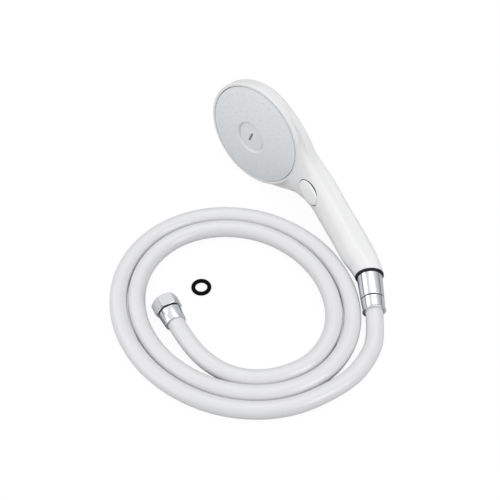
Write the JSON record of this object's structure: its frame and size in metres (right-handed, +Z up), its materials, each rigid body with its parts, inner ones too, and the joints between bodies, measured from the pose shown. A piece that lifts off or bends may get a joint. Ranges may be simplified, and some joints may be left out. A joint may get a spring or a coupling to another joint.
{
  "type": "handheld shower head",
  "caption": "Handheld shower head with a round domed spray face, push button stop valve on the handle, and a coiled plastic hose with a crimped ferrule and hexagon nut.",
  "frame": {"origin": "floor point under the middle of the handset, hose and its fittings left out, as it lies on its rim", "axes": "+Z up from the floor the object lies on; +X along the handset from head to hose; the spray face looks to -Y"},
  "size_m": [0.3198, 0.2658, 0.1108],
  "materials": {
    "white_body": "moulded gloss",
    "white_button": "moulded satin",
    "grey_face": "moulded satin",
    "inner_plastic": "as moulded",
    "seal_rubber": "smooth",
    "black_ring": "satin",
    "steel_screw": "bright",
    "spring_steel": "drawn wire and sheet",
    "chrome_metal": "bright plated",
    "brass_nipple": "turned",
    "white_hose": "smooth flexible sheath"
  },
  "bodies": {
    "hose_line": {"hose": "white_hose", "crimp_sleeve": "chrome_metal", "hose_nipple": "brass_nipple", "far_sleeve": "chrome_metal", "far_nipple": "brass_nipple", "nut_oring": "seal_rubber"},
    "handset": {"front_shell": "white_body", "back_shell": "white_body", "spray_plate": "grey_face", "centre_cap": "grey_face", "face_screw": "steel_screw", "plate_gasket": "seal_rubber", "water_chamber": "inner_plastic", "spreader_disc": "inner_plastic", "duct_seal": "seal_rubber", "valve_body": "inner_plastic", "valve_bonnet": "inner_plastic", "stem_seal": "seal_rubber", "return_spring": "spring_steel", "feed_tube": "inner_plastic", "inlet_fitting": "inner_plastic", "inlet_strainer": "spring_steel", "end_ring": "black_ring", "union_washer": "seal_rubber", "union_nut": "chrome_metal"},
    "button": {"push_button": "white_button", "valve_spindle": "inner_plastic", "poppet_seal": "seal_rubber"},
    "latch": {"latch_rotor": "inner_plastic"},
    "nut": {"hose_nut": "chrome_metal"}
  },
  "joints": [
    {"name": "hose_swivel", "type": "hinge", "parent": "hose_line", "child": "handset", "pos_m": [0.10377, -0.00528, 0.01431], "axis": [-0.8324, 0.5462, 0.0934], "continuous": true},
    {"name": "button_press", "type": "slide", "parent": "handset", "child": "button", "axis": [0.0375, 0.982, -0.1852], "range_m": [0, 0.0025], "stiffness_N_per_m": 1200, "springref_m": -0.001, "deforming": ["return_spring"]},
    {"name": "latch_turn", "type": "hinge", "parent": "handset", "child": "latch", "pos_m": [0.00281, 0.00184, 0.03628], "axis": [-0.0375, -0.982, 0.1852], "range_deg": [0, 45]},
    {"name": "nut_spin", "type": "hinge", "parent": "hose_line", "child": "nut", "pos_m": [0.0415, -0.18201, 0.0116], "axis": [-0.9806, 0.196, 0], "continuous": true}
  ],
  "couplings": [
    {"joint": "latch_turn", "follows": "button_press", "rad_per_m": 314.16}
  ]
}
